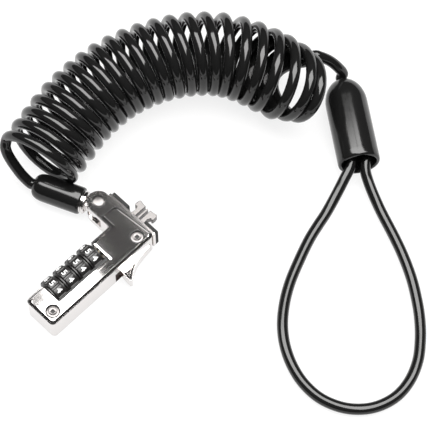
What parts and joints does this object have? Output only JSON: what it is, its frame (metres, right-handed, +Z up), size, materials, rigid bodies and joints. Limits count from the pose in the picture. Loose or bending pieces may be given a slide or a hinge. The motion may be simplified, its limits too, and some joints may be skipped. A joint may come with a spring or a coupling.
{
  "type": "laptop cable lock",
  "caption": "Combination cable lock for a portable computer: chromed L-shaped head with digit dials, a thumb trigger and spreading anchor jaws, and a self-coiling black cable ending in a loop.",
  "frame": {"origin": "middle of the bottom of the head's bounding box, measured without the cable and what is on it; the head lies face up and its underside is at z = 0", "axes": "+X the way the anchor jaws point, along the dial bar; +Y the way the swivel arm points; +Z up, out of the face with the dials"},
  "size_m": [0.1313, 0.1538, 0.0278],
  "materials": {
    "chrome": "polished chrome on zinc die castings",
    "steel": "plain hardened steel, satin",
    "brass": "turned brass",
    "black_plastic": "smooth black moulded plastic",
    "black_rubber": "matte black rubber",
    "black_jacket": "glossy black PVC jacket over a steel cable"
  },
  "bodies": {
    "cable": {"swivel_tang": "chrome", "ferrule": "chrome", "cable_sleeve": "black_plastic", "lead_cord": "black_jacket", "coil_cord": "black_jacket", "exit_cord": "black_jacket", "loop_sleeve": "black_plastic", "loop_crimp": "steel", "loop_cord": "black_jacket"},
    "lock_head": {"housing": "chrome", "cover": "chrome", "cover_screw_foot": "chrome", "cover_screw_tip": "chrome", "pivot_rivet": "chrome", "face_plate": "steel", "face_pad_arm": "black_rubber", "face_pad_corner": "black_rubber", "spindle_bush_foot": "brass", "spindle_bush_tip": "brass", "detent_spring": "steel", "jaw_pin_arm": "steel", "jaw_pin_corner": "steel", "trigger_spring": "steel"},
    "trigger_unit": {"trigger": "chrome", "carriage": "steel", "spreader_blade": "steel", "spindle": "steel"},
    "jaw_arm_unit": {"jaw_arm": "chrome"},
    "jaw_corner_unit": {"jaw_corner": "chrome"},
    "dial_unit_1": {"dial_1": "black_plastic", "code_cam_1": "steel"},
    "dial_unit_2": {"dial_2": "black_plastic", "code_cam_2": "steel"},
    "dial_unit_3": {"dial_3": "black_plastic", "code_cam_3": "steel"},
    "dial_unit_4": {"dial_4": "black_plastic", "code_cam_4": "steel"}
  },
  "joints": [
    {"name": "head_pivot", "type": "hinge", "parent": "cable", "child": "lock_head", "pos_m": [0.0148, 0.0112, 0.00495], "axis": [0, 0, 1], "range_deg": [-55, 65]},
    {"name": "dial_1_turn", "type": "hinge", "parent": "lock_head", "child": "dial_unit_1", "pos_m": [-0.0155, -0.0005, 0.00525], "axis": [1, 0, 0], "continuous": true},
    {"name": "dial_2_turn", "type": "hinge", "parent": "lock_head", "child": "dial_unit_2", "pos_m": [-0.01033, -0.0005, 0.00525], "axis": [1, 0, 0], "continuous": true},
    {"name": "dial_3_turn", "type": "hinge", "parent": "lock_head", "child": "dial_unit_3", "pos_m": [-0.00516, -0.0005, 0.00525], "axis": [1, 0, 0], "continuous": true},
    {"name": "dial_4_turn", "type": "hinge", "parent": "lock_head", "child": "dial_unit_4", "pos_m": [0.00001, -0.0005, 0.00525], "axis": [1, 0, 0], "continuous": true},
    {"name": "trigger_pull", "type": "slide", "parent": "lock_head", "child": "trigger_unit", "axis": [-1, 0, 0], "range_m": [0, 0.0022], "stiffness_N_per_m": 800, "springref_m": -0.002, "deforming": ["trigger_spring"]},
    {"name": "jaw_arm_swing", "type": "hinge", "parent": "lock_head", "child": "jaw_arm_unit", "pos_m": [0.0122, 0.0013, 0.0049], "axis": [0, 0, -1], "range_deg": [0, 3.1]},
    {"name": "jaw_corner_swing", "type": "hinge", "parent": "lock_head", "child": "jaw_corner_unit", "pos_m": [0.0122, -0.0027, 0.0049], "axis": [0, 0, 1], "range_deg": [0, 3.1]}
  ],
  "couplings": [
    {"joint": "jaw_arm_swing", "follows": "trigger_pull", "rad_per_m": 23.8},
    {"joint": "jaw_corner_swing", "follows": "trigger_pull", "rad_per_m": 23.8}
  ]
}
